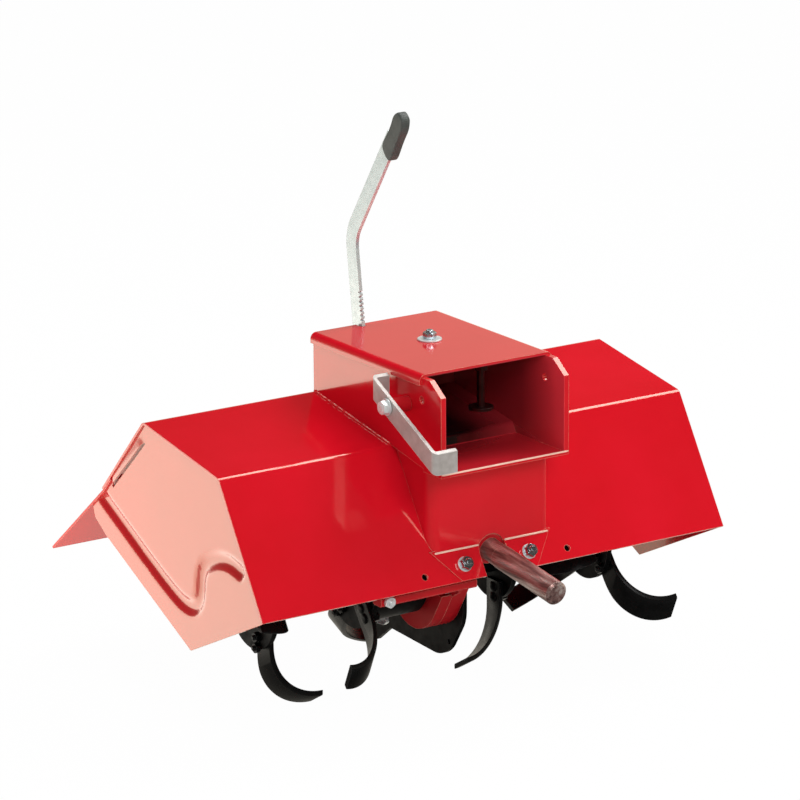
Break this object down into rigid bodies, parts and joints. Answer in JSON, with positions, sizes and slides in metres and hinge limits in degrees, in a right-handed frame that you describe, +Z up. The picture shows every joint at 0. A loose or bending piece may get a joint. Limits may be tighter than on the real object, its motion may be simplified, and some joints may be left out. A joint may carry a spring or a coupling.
{
  "type": "rotavator attachment for a two-wheel tractor",
  "caption": "Red sheet-steel rotary tiller head with a coupling box, drive shaft, curved black tines and a notched depth bar.",
  "frame": {"origin": "middle of the footprint, on the floor", "axes": "+X along the rotor to the right end, -Y to the front where the drive shaft and coupling mouth are, +Z up"},
  "size_m": [0.575, 0.5236, 0.6082],
  "materials": {
    "red_paint": "gloss",
    "black_paint": "satin",
    "zinc": "satin",
    "steel": "worn",
    "grip": "matte"
  },
  "bodies": {
    "hood": {"case_bolt": "zinc", "case_cover": "red_paint", "coupling_bulkhead": "red_paint", "coupling_channel": "red_paint", "coupling_lid": "red_paint", "coupling_stud": "zinc", "depth_bar_guide": "red_paint", "end_plate_left": "red_paint", "end_plate_right": "red_paint", "flange_bolt_left": "zinc", "flange_bolt_right": "zinc", "gear_case": "red_paint", "hood_shell": "red_paint", "latch_pivot": "zinc", "lid_bolt": "zinc", "pedestal": "red_paint", "rear_deflector": "red_paint", "skid_bolt": "zinc", "skid_plate": "black_paint"},
    "rotor": {"axle": "black_paint", "tine_1a": "black_paint", "tine_1b": "black_paint", "tine_1c": "black_paint", "tine_1d": "black_paint", "tine_2a": "black_paint", "tine_2b": "black_paint", "tine_2c": "black_paint", "tine_2d": "black_paint", "tine_3a": "black_paint", "tine_3b": "black_paint", "tine_3c": "black_paint", "tine_3d": "black_paint", "tine_4a": "black_paint", "tine_4b": "black_paint", "tine_4c": "black_paint", "tine_4d": "black_paint"},
    "drive_shaft": {"drive_shaft": "steel"},
    "latch": {"latch_strap": "zinc"},
    "depth_bar": {"depth_bar": "zinc", "depth_bar_grip": "grip"}
  },
  "joints": [
    {"name": "rotor_spin", "type": "hinge", "parent": "hood", "child": "rotor", "pos_m": [0, -0.01838, 0.10907], "axis": [1, 0, 0], "continuous": true},
    {"name": "shaft_spin", "type": "hinge", "parent": "hood", "child": "drive_shaft", "pos_m": [0, -0.26038, 0.14979], "axis": [0, -0.9898, -0.1426], "continuous": true},
    {"name": "latch_swing", "type": "hinge", "parent": "hood", "child": "latch", "pos_m": [-0.104, -0.10938, 0.32807], "axis": [-1, 0, 0], "range_deg": [0, 35]},
    {"name": "depth_slide", "type": "slide", "parent": "hood", "child": "depth_bar", "axis": [0, 0.1293, 0.9916], "range_m": [-0.034, 0]}
  ],
  "couplings": [
    {"joint": "shaft_spin", "follows": "rotor_spin", "ratio": 2.5}
  ]
}
